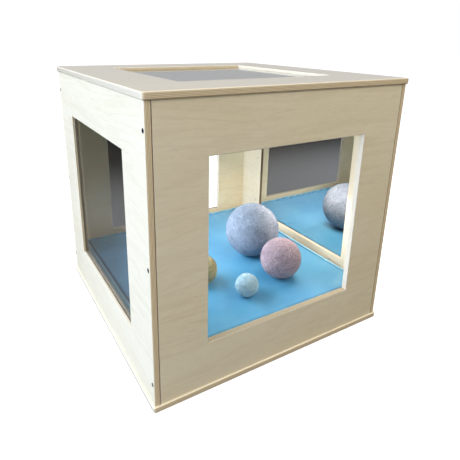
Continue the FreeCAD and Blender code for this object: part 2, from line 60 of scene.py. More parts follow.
def aim_camera():
    """The camera looks at the near left corner from a little above the cube."""
    azimuth, elevation, roll = (math.radians(angle) for angle in CAMERA_ANGLES)
    back = Vector((math.sin(azimuth) * math.cos(elevation),
                   -math.cos(azimuth) * math.cos(elevation),
                   math.sin(elevation)))
    right = Vector((math.cos(azimuth), math.sin(azimuth), 0))
    up = back.cross(right)
    across = math.cos(roll) * right + math.sin(roll) * up
    upward = math.cos(roll) * up - math.sin(roll) * right
    turn = Matrix((across, upward, back)).transposed()
    data = bpy.data.cameras.new("camera")
    data.sensor_width = 36
    data.lens = CAMERA_LENS
    data.shift_x, data.shift_y = CAMERA_SHIFT
    data.clip_start = 0.01
    data.clip_end = 100
    camera = bpy.data.objects.new("camera", data)
    camera.matrix_world = Matrix.Translation(CAMERA_PLACE) @ turn.to_4x4()
    bpy.context.scene.collection.objects.link(camera)
    bpy.context.scene.camera = camera


# ---------------------------------------------------------------- materials

class Graph:
    """A material's nodes, with a short call for each kind that is used here."""

    def __init__(self, name, color, roughness, **sockets):
        self.material = bpy.data.materials.new(name)
        self.material.use_nodes = True
        self.tree = self.material.node_tree
        self.shader = self.tree.nodes["Principled BSDF"]
        self.feed(self.shader.inputs["Base Color"], color)
        self.feed(self.shader.inputs["Roughness"], roughness)
        for socket, value in sockets.items():
            self.feed(self.shader.inputs[socket.replace("_", " ")], value)

    def feed(self, socket, value):
        """Link a socket or a node's first output, or set a plain value."""
        if isinstance(value, bpy.types.Node):
            value = value.outputs[0]
        if isinstance(value, bpy.types.NodeSocket):
            self.tree.links.new(value, socket)
        elif hasattr(value, "__len__") and len(socket.default_value) == 4:
            socket.default_value = tuple(value) + (1,)
        else:
            socket.default_value = value

    def node(self, kind, inputs=(), **settings):
        node = self.tree.nodes.new("ShaderNode" + kind)
        for setting, value in settings.items():
            setattr(node, setting, value)
        for socket, value in dict(inputs).items():
            self.feed(node.inputs[socket], value)
        return node

    def math(self, operation, first, second=0.0, third=0.0):
        return self.node("Math", {0: first, 1: second, 2: third}, operation=operation)

    def ramp(self, value, low, high, start=0.0, end=1.0):
        """Carry value from low..high to start..end with soft ends."""
        return self.node("MapRange", {0: value, 1: low, 2: high, 3: start, 4: end},
                         interpolation_type="SMOOTHSTEP")

    def mix(self, factor, first, second):
        """Blend two colors, from the first at 0 to the second at 1."""
        node = self.node("Mix", data_type="RGBA")
        for socket, value in ((0, factor), (6, first), (7, second)):
            self.feed(node.inputs[socket], value)
        return node.outputs[2]

    def vector(self, x, y, z):
        return self.node("CombineXYZ", {0: x, 1: y, 2: z})

    def scaled(self, vector, factors):
        return self.node("VectorMath", {0: vector, 1: factors}, operation="MULTIPLY")

    def noise(self, vector, scale, detail=2.0, rough=0.5, warp=0.0):
        inputs = {"Vector": vector, "Scale": scale, "Detail": detail,
                  "Roughness": rough, "Distortion": warp}
        return self.node("TexNoise", inputs).outputs["Fac"]

    def place(self):
        return self.node("TexCoord").outputs["Object"]

    def bump(self, height, distance, strength=1.0):
        """Raise the surface by height times distance, in metres."""
        node = self.node("Bump", {"Height": height, "Distance": distance, "Strength": strength})
        self.feed(self.shader.inputs["Normal"], node)


FACE_TONES = (0.89, 0.77, 0.525), (0.85, 0.71, 0.455)
# The side panels' face is painted paler and less yellow than the same plywood elsewhere: painted light, for
# the bright window light on the left face.
SIDE_FACE_TONES = (0.87, 0.78, 0.60), (0.84, 0.735, 0.54)     # the side panels' paler face
FIGURE_BROWN = (0.58, 0.43, 0.235)
FLECK_BROWN = (0.42, 0.32, 0.20)
CLOUD_CREAM = (0.88, 0.775, 0.575)
GLUE_BROWN = (0.22, 0.14, 0.08)
# Painted shade laid on the upward sawn edges, the sills, of the front and back panels.
PAINTED_SHADE_SILL = (0.31, 0.265, 0.165)
# Painted highlight: pale cream laid on sawn edges where light catches them.
PAINTED_HIGHLIGHT_CREAM = (0.96, 0.89, 0.74)
# Painted shade laid on the side panels' sawn edges near their inner face.
SHADED_ARRIS = (0.30, 0.20, 0.11)

# The dark and the light tone of sawn edges.
CREAM_CUT = (0.66, 0.57, 0.42), (0.88, 0.82, 0.70)
TAN_CUT = (0.66, 0.48, 0.255), (0.97, 0.80, 0.52)
BROWN_CUT = (0.13, 0.075, 0.04), (0.30, 0.19, 0.11)


def ply_face(graph, grain, wavy, swayed, streak, tones):
    """The color of a face: broad figure, fine streaks and short flecks along the grain."""
    figure = graph.noise(graph.scaled(wavy, (1.6, 13.0, 13.0)), 1, 3, 0.55, 0.4)
    mottle = graph.noise(graph.scaled(wavy, (42.0, 105.0, 105.0)), 1, 3, 0.6, 0.5)
    fleck = graph.noise(graph.scaled(grain, (38.0, 620.0, 620.0)), 1, 1)
    cloud = graph.noise(grain, 3.2, 2)
    bend = graph.math("MULTIPLY", swayed, 40.0)
    rings = graph.math("SINE", graph.math("MULTIPLY_ADD", figure, 46.0, bend))
    face = graph.mix(graph.ramp(figure, 0.28, 0.72), *tones)
    face = graph.mix(graph.ramp(rings, 0.35, 1.0, 0.0, 0.13), face, FIGURE_BROWN)
    face = graph.mix(graph.ramp(mottle, 0.42, 0.62, 0.0, 0.07), face, FIGURE_BROWN)
    face = graph.mix(graph.ramp(streak, 0.44, 0.72, 0.0, 0.10), face, FIGURE_BROWN)
    face = graph.mix(graph.ramp(fleck, 0.64, 0.78, 0.0, 0.26), face, FLECK_BROWN)
    return graph.mix(graph.ramp(cloud, 0.35, 0.70, 0.0, 0.30), face, CLOUD_CREAM)


def ply_cut(graph, grain, stack, cut):
    """The color of a sawn edge, whose layers are cut by turns along and across their grain."""
    odd = graph.math("MODULO", graph.math("FLOOR", stack), 2)
    fiber = graph.noise(graph.scaled(grain, (26.0, 26.0, 900.0)), 1, 3, 0.6)
    speckle = graph.noise(graph.scaled(grain, (700.0, 700.0, 900.0)), 1, 2)
    rough = graph.math("MULTIPLY", graph.math("ADD", fiber, speckle), 0.4)
    tone = graph.math("MULTIPLY_ADD", odd, 0.35, rough)
    return graph.mix(graph.ramp(tone, 0.32, 0.74, 1, 0), *cut)


def lit_and_shaded_cut(graph, side, thick, spot, facing, depth, inner):
    """Painted highlights and painted shade on a sawn edge, placed by which way it faces and by its depth in
    the board.
    """
    if thick == X:
        # Painted shade along the side panels' sawn edges next to the face that looks inward.
        sunken = graph.math("ABSOLUTE", spot[X])
        shade = graph.ramp(sunken, inner + 1.2 * MM, inner + 3.2 * MM, 0.8, 0.0)
        side = graph.mix(shade, side, SHADED_ARRIS)
        # Painted highlight: the side panels' upward sawn edges turn pale cream.
        side = graph.mix(graph.ramp(facing[Z], 0.5, 0.9, 0.0, 0.7), side, PAINTED_HIGHLIGHT_CREAM)
    elif thick == Y:
        # Painted shade: the front and back panels' upward sawn edges, the sills, turn darker.
        side = graph.mix(graph.ramp(facing[Z], 0.5, 0.9, 0.0, 0.85), side, PAINTED_SHADE_SILL)
        # Painted highlight along the arris at the far end of the thickness, the inner rim of the front
        # panel's sill.
        side = graph.mix(graph.ramp(depth, 0.86, 0.93, 0.0, 0.85), side, PAINTED_HIGHLIGHT_CREAM)
    else:
        # Painted highlight along the boards' upper arris.
        side = graph.mix(graph.ramp(depth, 0.82, 0.93, 0.0, 0.35), side, PAINTED_HIGHLIGHT_CREAM)
    # Painted highlight on every sawn edge that faces left, toward the window light.
    return graph.mix(graph.ramp(facing[X], -0.95, -0.5, 0.6, 0.0), side, PAINTED_HIGHLIGHT_CREAM)


def plywood(name, thick, along, layers, cut, inner, gloss=None):
    """Lacquered birch plywood that is thick across one axis, with its face grain along another.

    cut holds the dark and the light tone of its sawn edges, and inner is how far the face that looks
    inward lies from the cube's middle."""
    across = 3 - thick - along
    graph = Graph(name, (1, 1, 1), 0.4)
    spot = graph.node("SeparateXYZ", {0: graph.place()}).outputs
    facing = graph.node("SeparateXYZ", {0: graph.node("NewGeometry").outputs["Normal"]}).outputs
    grain = graph.vector(spot[along], spot[across], spot[thick])
    sway = graph.noise(graph.scaled(grain, (2.2, 7.0, 7.0)), 1, 2)
    swayed = graph.math("MULTIPLY_ADD", sway, 0.05, spot[across])
    wavy = graph.vector(spot[along], swayed, spot[thick])
    streak = graph.noise(graph.scaled(wavy, (16.0, 300.0, 300.0)), 1, 4, 0.62)

    # Which layer a spot lies in, and how far its surface turns from the face to the sawn edge.
    depth = graph.node("SeparateXYZ", {0: graph.node("TexCoord").outputs["Generated"]}).outputs[thick]
    depth = graph.math("MULTIPLY_ADD", depth, 0.998, 0.001)
    stack = graph.math("MULTIPLY", depth, layers)
    edge = graph.ramp(graph.math("ABSOLUTE", facing[thick]), 0.80, 0.97, 1, 0)
    middle = graph.math("SUBTRACT", graph.math("FRACT", stack), 0.5)
    joint = graph.ramp(graph.math("ABSOLUTE", middle), 0.34, 0.48)
    glue = graph.math("MULTIPLY", joint, edge)

    face = ply_face(graph, grain, wavy, swayed, streak, SIDE_FACE_TONES if thick == X else FACE_TONES)
    side = ply_cut(graph, grain, stack, cut)
    # Painted highlights and painted shade over the sawn edges.
    side = lit_and_shaded_cut(graph, side, thick, spot, facing, depth, inner)
    color = graph.mix(edge, face, side)
    color = graph.mix(graph.math("MULTIPLY", glue, 0.55), color, GLUE_BROWN)
    graph.feed(graph.shader.inputs["Base Color"], color)

    dull = graph.math("MULTIPLY_ADD", streak, 0.16, 0.30 if gloss is None else 0.14)
    graph.feed(graph.shader.inputs["Roughness"], graph.math("MULTIPLY_ADD", edge, 0.2, dull))
    if gloss is not None:
        graph.shader.inputs["Coat Weight"].default_value = gloss
        graph.shader.inputs["Coat Roughness"].default_value = 0.07
    relief = graph.math("SUBTRACT", graph.math("MULTIPLY", streak, 0.6), glue)
    graph.bump(relief, 0.12 * MM, 0.5)
    return graph.material


def metal(name, dark, light, roughness, metallic):
    """Screw metal, rubbed paler in patches."""
    graph = Graph(name, dark, roughness, Metallic=metallic)
    worn = graph.noise(graph.place(), 700, 3, 0.6)
    graph.feed(graph.shader.inputs["Base Color"], graph.mix(graph.ramp(worn, 0.45, 0.7), dark, light))
    graph.feed(graph.shader.inputs["Roughness"], graph.ramp(worn, 0.3, 0.7, roughness - 0.1, roughness + 0.1))
    graph.bump(graph.noise(graph.place(), 2600, 1), 0.03 * MM)
    return graph.material


def mirror_side(name, tint, alpha, metallic, roughness):
    """One side of a mirror pane, with faint wipe marks in its gloss."""
    graph = Graph(name, tint, roughness, Metallic=metallic, Alpha=alpha)
    wiped = graph.noise(graph.scaled(graph.place(), (5.0, 9.0, 26.0)), 1, 3, 0.6, 0.8)
    graph.feed(graph.shader.inputs["Roughness"], graph.ramp(wiped, 0.45, 0.9, roughness, roughness + 0.05))
    graph.bump(graph.noise(graph.place(), 4.0, 1), 0.35 * MM)
    return graph.material


# Painted highlight: the paler blue laid on the raised piping beside the seam.
PIPING_HIGHLIGHT_BLUE = (0.34, 0.70, 0.82)


def vinyl(name, pale, deep, edge, seam_shade):
    """Soft coated cloth of the mat's cover, with a fine pressed grain, a painted highlight on the piping and
    painted shade in the sewn seam.

    The mesh's seam attribute is above 0 in the seam and below 0 on the piping."""
    graph = Graph(name, pale, 0.36, Coat_Weight=0.4, Coat_Roughness=0.22)
    place = graph.place()
    cells = graph.node("TexVoronoi", {"Vector": place, "Scale": 900.0}, feature="DISTANCE_TO_EDGE")
    broad = graph.noise(place, 7, 3, 0.55)
    fine = graph.noise(place, 160, 3, 0.6)
    seam = graph.node("Attribute", attribute_name="seam").outputs["Fac"]
    color = graph.mix(graph.ramp(broad, 0.3, 0.7), pale, deep)
    color = graph.mix(graph.ramp(fine, 0.52, 0.8, 0.0, 0.22), color, edge)
    # Painted highlight on the piping.
    color = graph.mix(graph.ramp(seam, -0.7, -0.1, 0.55, 0.0), color, PIPING_HIGHLIGHT_BLUE)
    # Painted shade in the seam's groove.
    color = graph.mix(graph.ramp(seam, 0.1, 0.6, 0.0, 0.97), color, seam_shade)
    graph.feed(graph.shader.inputs["Base Color"], color)
    graph.feed(graph.shader.inputs["Roughness"], graph.ramp(fine, 0.3, 0.7, 0.30, 0.44))
    pressed = graph.ramp(cells, 0.0, 0.12)
    graph.bump(graph.math("MULTIPLY_ADD", fine, 0.5, pressed), 0.12 * MM, 0.6)
    return graph.material


def cloth(name, dark, light, pitch):
    """Plain woven cloth with threads at the given pitch."""
    graph = Graph(name, dark, 0.85, Sheen_Weight=0.2)
    spot = graph.node("SeparateXYZ", {0: graph.place()}).outputs
    ridges = []
    for axis in (X, Y, Z):
        turns = graph.math("MULTIPLY", spot[axis], 2 * math.pi / pitch)
        ridges.append(graph.math("SINE", turns))
    weave = graph.math("MULTIPLY", graph.math("MULTIPLY_ADD", ridges[X], 0.5, 0.5),
                       graph.math("ADD", ridges[Y], ridges[Z]))
    slub = graph.noise(graph.place(), 220, 3)
    color = graph.mix(graph.ramp(weave, -1.0, 1.0), dark, light)
    color = graph.mix(graph.ramp(slub, 0.4, 0.8, 0.0, 0.4), color, light)
    graph.feed(graph.shader.inputs["Base Color"], color)
    graph.bump(weave, 0.15 * MM)
    return graph.material


def felt(name, pale, middle, deep):
    """Wool felt: matted curls under loose hairs, each hair with a tone of its own around one half."""
    graph = Graph(name, middle, 0.95, Sheen_Weight=0.35, Sheen_Roughness=0.5, Sheen_Tint=pale)
    graph.shader.inputs["Specular IOR Level"].default_value = 0.15
    place = graph.place()
    drift = graph.noise(place, 20, 2, 0.45, 0.6)
    swirl = graph.math("SINE", graph.math("MULTIPLY", drift, 85))
    curl = graph.noise(place, 150, 3, 0.65, 2.6)
    strand = graph.noise(place, 420, 2, 0.6, 4.0)
    cloud = graph.noise(place, 28, 2, 0.5)
    tone = graph.node("Attribute", attribute_name="hair_tone").outputs["Fac"]
    color = graph.mix(graph.ramp(curl, 0.30, 0.68), deep, pale)
    color = graph.mix(graph.ramp(swirl, -0.4, 0.9, 0.0, 0.24), color, deep)
    color = graph.mix(graph.ramp(strand, 0.42, 0.62, 0.0, 0.55), color, middle)
    color = graph.mix(graph.ramp(cloud, 0.35, 0.7, 0.0, 0.2), color, middle)
    color = graph.mix(graph.ramp(tone, 0.55, 0.95, 0.0, 0.9), color, pale)
    color = graph.mix(graph.ramp(tone, 0.05, 0.42, 0.8, 0.0), color, deep)
    graph.feed(graph.shader.inputs["Base Color"], color)
    relief = graph.math("MULTIPLY_ADD", strand, 0.5, graph.math("MULTIPLY_ADD", swirl, -0.3, curl))
    graph.bump(relief, 1.1 * MM, 0.9)
    return graph.material


def beech(name):
    """Turned beech dowel."""
    graph = Graph(name, (0.6, 0.42, 0.26), 0.6)
    streak = graph.noise(graph.scaled(graph.place(), (700.0, 700.0, 40.0)), 1, 3)
    color = graph.mix(graph.ramp(streak, 0.35, 0.7), (0.66, 0.48, 0.30), (0.46, 0.30, 0.17))
    graph.feed(graph.shader.inputs["Base Color"], color)
    graph.bump(streak, 0.1 * MM)
    return graph.material


def paint(node, material):
    """Give a CAD node one finished material all over."""
    NODES[node].data.materials.clear()
    NODES[node].data.materials.append(material)


def thin_and_long(node):
    """The axis along which a node's box is thinnest, and the one along which it is longest."""
    low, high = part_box(node)
    size = high - low
    return (min((X, Y, Z), key=lambda axis: size[axis]),
            max((X, Y, Z), key=lambda axis: size[axis]))


def paint_wood():
    """Finish the boards, panels and strips, with one material for all pieces that are cut alike."""
    wood = {}

    def ply(node, along=None, layers=11, cut=TAN_CUT, gloss=None):
        thick, longest = thin_and_long(node)
        along = longest if along is None else along
        key = (thick, along, cut, gloss)
        if key not in wood:
            low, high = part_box(node)
            inner = min(abs(low[thick]), abs(high[thick]))
            wood[key] = plywood("plywood_%d" % len(wood), thick, along, layers, cut, inner, gloss)
        paint(node, wood[key])

    for node in ("base_board", "top_board"):
        ply(node, along=X, gloss=0.9)
    for node in ("front_panel", "back_panel"):
        ply(node, along=X, cut=CREAM_CUT)
    for node in ("left_panel", "right_panel"):
        ply(node, along=Y)
    for node in NODES:
        if "_strip_" in node and not node.endswith("screws"):
            ply(node, layers=3, cut=BROWN_CUT)


def paint_fixings():
    """Finish the screws and the dowels."""
    black = metal("black_steel", (0.02, 0.02, 0.022), (0.10, 0.10, 0.10), 0.45, 0.6)
    zinc = metal("zinc_steel", (0.45, 0.43, 0.38), (0.62, 0.60, 0.55), 0.35, 1.0)
    for node in NODES:
        if node.endswith("strip_screws"):
            paint(node, zinc)
        elif node.endswith("screws"):
            paint(node, black)
    paint("top_dowels", beech("beech"))


def paint_panes():
    """Give each pane an outer side, an inner side and cut edges. The left one is the clearest."""
    cut_edge = mirror_side("pane_edge", (0.30, 0.33, 0.32), 0.9, 0.0, 0.2)
    dark, silver = (0.030, 0.026, 0.020), (0.86, 0.87, 0.86)
    outside = {"left": mirror_side("pane_clear_outside", dark, 0.35, 0.0, 0.02),
               "right": mirror_side("pane_dark_outside", dark, 0.62, 0.0, 0.02),
               "top": mirror_side("pane_bright_outside", (0.80, 0.82, 0.83), 0.80, 1.0, 0.012)}
    inside = {"left": mirror_side("pane_clear_inside", silver, 0.38, 1.0, 0.012),
              "right": mirror_side("pane_dark_inside", silver, 0.93, 1.0, 0.012),
              "top": mirror_side("pane_bright_inside", silver, 0.80, 1.0, 0.012)}
    for side in ("left", "right", "top"):
        pane = side + "_mirror_pane"
        thick, _ = thin_and_long(pane)
        outward = -1 if side == "left" else 1
        paint(pane, outside[side])
        mesh = NODES[pane].data
        mesh.materials.append(inside[side])
        mesh.materials.append(cut_edge)
        for polygon in mesh.polygons:
            toward = polygon.normal[thick] * outward
            polygon.material_index = 0 if toward > 0.5 else 1 if toward < -0.5 else 2


# ---------------------------------------------------------------- shapes

def add_piece(name, body, slot, mesh, *materials):
    """Put a mesh in the scene as a piece that moves with a body."""
    piece = bpy.data.objects.new(name, mesh)
    bpy.context.scene.collection.objects.link(piece)
    for material in materials:
        mesh.materials.append(material)
    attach(piece, body)
    return piece


def mesh_from(name, points, faces, smooth=True):
    mesh = bpy.data.meshes.new(name)
    mesh.from_pydata([tuple(point) for point in points], [], [tuple(face) for face in faces])
    mesh.update()
    mesh.polygons.foreach_set("use_smooth", [smooth] * len(mesh.polygons))
    return mesh


def value_noise(points, seed):
    """Smooth noise at each point, mostly from -1 to 1, the same for the same seed."""
    draw = np.random.default_rng(seed)
    total = np.zeros(len(points))
    for _ in range(18):
        wave = draw.normal(size=3)
        wave *= draw.uniform(0.6, 1.5) / np.linalg.norm(wave)
        total += np.sin(points @ wave * 2 * math.pi + draw.uniform(0, 2 * math.pi))
    return total / 5


HAIR_STEPS = 7
HAIR_SINK = 0.35 * MM
HAIRS_ON_LARGEST = 3050
LARGEST_RADIUS = 84 * MM
CORE_INSET = 0.9 * MM     # how far the core's surface lies within the CAD ball
HAIR_INSET = 0.7 * MM     # the same for the layer that the hairs lie in
DENT = 0.6 * MM
FINE_RADIUS = 50 * MM     # larger balls get a finer core


def hairs(center, radius, count, draw):
    """Fine curling hairs that lie on a ball and lift a little from it: points, faces and tones."""
    start = draw.normal(size=(count, 3))
    start /= np.linalg.norm(start, axis=1)[:, None]
    heading = np.cross(start, draw.normal(size=(count, 3)))
    heading /= np.linalg.norm(heading, axis=1)[:, None]
    length = draw.uniform(9, 30, count) * MM / radius
    curl = draw.normal(0, 0.55, count)
    lift = np.abs(draw.normal(0, 0.9, count)) * MM
    free_end = draw.uniform(0, 1, count) < 0.35
    width = draw.uniform(0.12, 0.30, count) * MM
    points = np.zeros((count, HAIR_STEPS, 3, 3))
    at = start.copy()
    for step in range(HAIR_STEPS):
        share = step / (HAIR_STEPS - 1)
        arch = np.where(free_end, share, math.sin(math.pi * share))
        height = radius - HAIR_SINK + lift * arch
        side = np.cross(at, heading)
        taper = width * (1 - 0.6 * share)
        middle = center + at * height[:, None]
        for corner in range(3):
            angle = 2 * math.pi * corner / 3
            offset = side * math.cos(angle) + at * math.sin(angle)
            points[:, step, corner] = middle + offset * taper[:, None]
        heading = heading + side * curl[:, None]
        heading -= at * np.sum(at * heading, axis=1)[:, None]
        heading /= np.linalg.norm(heading, axis=1)[:, None]
        at = at + heading * (length / (HAIR_STEPS - 1))[:, None]
        at /= np.linalg.norm(at, axis=1)[:, None]
    faces = []
    for hair in range(count):
        base = hair * HAIR_STEPS * 3
        for step in range(HAIR_STEPS - 1):
            ring = base + step * 3
            for corner in range(3):
                following = (corner + 1) % 3
                faces.append((ring + corner, ring + following, ring + 3 + following, ring + 3 + corner))
        last = base + (HAIR_STEPS - 1) * 3
        faces.append((base + 2, base + 1, base))
        faces.append((last, last + 1, last + 2))
    tone = np.repeat(draw.uniform(0, 1, count), HAIR_STEPS * 3)
    return points.reshape(-1, 3), faces, tone


def felt_ball(node, body, slot, material, seed):
    """A ball of matted wool, slightly uneven, under a coat of loose hairs."""
    low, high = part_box(node)
    center = np.array((low + high) / 2)
    radius = (high - low).x / 2
    ball = bmesh.new()
    bmesh.ops.create_icosphere(ball, subdivisions=7 if radius > FINE_RADIUS else 6, radius=1)
    unit = np.array([vertex.co for vertex in ball.verts])
    faces = [tuple(vertex.index for vertex in face.verts) for face in ball.faces]
    ball.free()
    dents = (0.55 * value_noise(unit * radius / 0.040, seed)
             + 0.30 * value_noise(unit * radius / 0.012, seed + 1)
             + 0.16 * value_noise(unit * radius / 0.0045, seed + 2))
    height = radius - CORE_INSET + np.clip(dents, -1.4, 1.4) * DENT
    core = center + unit * height[:, None]
    draw = np.random.default_rng(seed)
    count = int(HAIRS_ON_LARGEST * (radius / LARGEST_RADIUS) ** 2)
    strands, strand_faces, tone = hairs(center, radius - HAIR_INSET, count, draw)
    shifted = [tuple(index + len(core) for index in face) for face in strand_faces]
    points = np.vstack((core, strands))
    points[:, Z] = np.maximum(points[:, Z], low.z)
    mesh = mesh_from(node + "_wool", points, faces + shifted)
    layer = mesh.attributes.new("hair_tone", "FLOAT", "POINT")
    layer.data.foreach_set("value", np.concatenate((np.full(len(core), 0.5), tone)).astype(np.float32))
    piece = add_piece(node + "_wool", body, slot, mesh, material)
    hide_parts(node)


# ---------------------------------------------------------------- floor mat

MAT_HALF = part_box("mat_cover")[1].x
MAT_CORNER = 14 * MM
MAT_ROLL = 7.5 * MM
MAT_PITCH = 4.6 * MM
SEAM_INSET = 14 * MM
# Grid lines near the outline, in millimetres from it, closest together at the outline and at the seam.
SEAM_LINES = (0, 0.25, 0.8, 1.7, 2.8, 4.2, 5.8, 7.5, 9.2, 10.6, 11.7, 12.7, 13.4, 14, 14.6, 15.3,
              16.3, 17.6, 19.5, 22.5)
SIDE_ROWS = 22
SWELL_VOXEL = 11 * MM
SWELL_FRAMES = 20
SWELL_CAP = 5 * MM
SEAM_DEPTH = 4.4 * MM
WELT_HEIGHT = 1.4 * MM
MOST_RISE = 9 * MM


def grid_lines(half, pitch):
    """Places of grid lines from -half to half, gathered near both ends where the seam runs."""
    edge = [step * MM for step in SEAM_LINES]
    inner = half - edge[-1]
    count = round(2 * inner / pitch)
    middle = [-inner + 2 * inner * step / count for step in range(1, count)]
    left = [-half + step for step in edge]
    return np.array(left + middle + [-place for place in reversed(left)])


def round_corners(x, y, half, corner):
    """Pull a square grid's corner squares into quarter discs."""
    inner = half - corner
    a = np.clip((np.abs(x) - inner) / corner, 0, None)
    b = np.clip((np.abs(y) - inner) / corner, 0, None)
    both = (a > 0) & (b > 0)
    disc_a = np.where(both, a * np.sqrt(np.clip(1 - b * b / 2, 0, 1)), a)
    disc_b = np.where(both, b * np.sqrt(np.clip(1 - a * a / 2, 0, 1)), b)
    return (np.sign(x) * np.where(a > 0, inner + corner * disc_a, np.abs(x)),
            np.sign(y) * np.where(b > 0, inner + corner * disc_b, np.abs(y)))


def mat_grid(low, high):
    """The mat's cover as a closed grid. Gives its points, faces, how many of them come before the underside,
    and how far each point is in from the outline."""
    half = high.x
    lines = grid_lines(half, MAT_PITCH)
    count = len(lines)
    grid_x, grid_y = np.meshgrid(lines, lines, indexing="ij")
    inset = (half - np.maximum(np.abs(grid_x), np.abs(grid_y))).ravel()
    x, y = round_corners(grid_x.ravel(), grid_y.ravel(), half, MAT_CORNER)
    rolled = np.clip(MAT_ROLL - inset, 0, MAT_ROLL)
    shoulder = high.z - MAT_ROLL
    top = shoulder + np.sqrt(np.clip(MAT_ROLL ** 2 - rolled ** 2, 0, None))
    points = [np.stack((x, y, top), axis=1)]
    cells = [(i * count + j) for i in range(count - 1) for j in range(count - 1)]
    faces = [(cell, cell + count, cell + count + 1, cell + 1) for cell in cells]
    rim = ([i * count for i in range(count)]
           + [(count - 1) * count + j for j in range(1, count)]
           + [i * count + count - 1 for i in range(count - 2, -1, -1)]
           + [j for j in range(count - 2, 0, -1)])
    previous = rim
    total = count * count
    for row in range(1, SIDE_ROWS + 1):
        level = shoulder - row * (shoulder - low.z) / SIDE_ROWS
        current = list(range(total, total + len(rim)))
        points.append(np.stack((x[rim], y[rim], np.full(len(rim), level)), axis=1))
        total += len(rim)
        for index in range(len(rim)):
            following = (index + 1) % len(rim)
            faces.append((previous[index], current[index], current[following], previous[following]))
        previous = current
    upper_faces = len(faces)
    below = dict(zip(rim, previous))
    inner = [i * count + j for i in range(1, count - 1) for j in range(1, count - 1)]
    below.update({index: total + number for number, index in enumerate(inner)})
    points.append(np.stack((x[inner], y[inner], np.full(len(inner), low.z)), axis=1))
    for cell in cells:
        faces.append((below[cell], below[cell + 1], below[cell + count + 1], below[cell + count]))
    insets = np.concatenate((inset, np.full(len(rim) * SIDE_ROWS, -1.0), np.full(len(inner), -1.0)))
    return np.vstack(points), faces, upper_faces, insets


def swell(points, faces):
    """Blow up a soft block with cloth simulation, and carry its movement over to the finer points."""
    block = bpy.data.objects.new("mat_block", mesh_from("mat_block", points, faces))
    scene = bpy.context.scene
    scene.collection.objects.link(block)
    bpy.context.view_layer.objects.active = block
    remesh = block.modifiers.new("Remesh", "REMESH")
    remesh.mode = "VOXEL"
    remesh.voxel_size = SWELL_VOXEL
    bpy.ops.object.modifier_apply(modifier=remesh.name)
    start = np.array([vertex.co for vertex in block.data.vertices])
    fabric = block.modifiers.new("Cloth", "CLOTH")
    fabric.settings.quality = 4
    fabric.settings.mass = 0.3
    fabric.settings.tension_stiffness = 15
    fabric.settings.compression_stiffness = 12
    fabric.settings.bending_stiffness = 0.3
    fabric.settings.shrink_min = -0.015
    fabric.settings.use_pressure = True
    fabric.settings.uniform_pressure_force = 4
    fabric.settings.effector_weights.gravity = 0
    fabric.point_cache.frame_start = 1
    fabric.point_cache.frame_end = SWELL_FRAMES
    for number in range(1, SWELL_FRAMES + 1):
        scene.frame_set(number)
    bpy.ops.object.modifier_apply(modifier=fabric.name)
    move = np.array([vertex.co for vertex in block.data.vertices]) - start
    scene.frame_set(1)
    bpy.data.objects.remove(block)
    tree = KDTree(len(start))
    for index, point in enumerate(start):
        tree.insert(point, index)
    tree.balance()
    result = np.zeros_like(points)
    for index, point in enumerate(points):
        near = tree.find_n(point, 5)
        weights = np.array([1 / (distance + 3 * MM) ** 2 for _, _, distance in near])
        result[index] = weights @ move[[number for _, number, _ in near]] / weights.sum()
    return result


def bell(distance, width):
    """A smooth bump of height 1 around a distance of 0."""
    return np.exp(-(distance / width) ** 2)


CREASE_SEED = 5
CREASED_EDGES = ((Y, 1, 15), (X, 1, 7), (X, -1, 9), (Y, -1, 8))     # axis, side and number of creases


def creases(points):
    """How deep soft folds run into the mat's top.

    Short ones run across its edges, and a fan of them at each back corner."""
    x, y = points[:, X], points[:, Y]
    depth = np.zeros(len(points))
    draw = np.random.default_rng(CREASE_SEED)
    for axis, sign, count in CREASED_EDGES:
        across = points[:, 1 - axis]
        inward = MAT_HALF - sign * points[:, axis]
        for _ in range(count):
            middle = draw.uniform(-0.27, 0.27)
            lean = draw.normal(0, 0.45)
            reach = draw.uniform(0.025, 0.085)
            width = draw.uniform(0.005, 0.011)
            amount = draw.uniform(0.9, 2.0) * MM * (1.5 if sign == 1 else 0.8)
            line = across - middle - lean * inward
            depth += amount * bell(line, width) * bell(inward - 0.020, reach)
    for corner_x in (1, -1):
        from_x, from_y = MAT_HALF * corner_x - x, MAT_HALF - y
        away = np.hypot(from_x, from_y)
        turn = np.arctan2(np.abs(from_y), np.abs(from_x))
        fan = 0.5 + 0.5 * np.cos(turn * 21 + 2.0 * np.sin(away * 24))
        depth += 2.4 * MM * fan * bell(away - 0.05, 0.055)
    return depth


def edge_rise(points):
    """How far the mat's top climbs where it is squeezed against the back wall and the two side walls."""
    x, y = points[:, X], points[:, Y]
    toward_back = np.clip(0.5 + y / 0.6, 0, 1)
    back = 8.5 * bell(MAT_HALF - y, 0.060)
    left = 6.0 * bell(MAT_HALF + x, 0.050) * (0.5 + 0.5 * toward_back)
    right = 5.0 * bell(MAT_HALF - x, 0.045) * toward_back
    ripple = 1 + 0.12 * np.sin(31 * x + 2 * y) * np.sin(17 * y)
    return MM * np.maximum(back, np.maximum(left, right)) * ripple


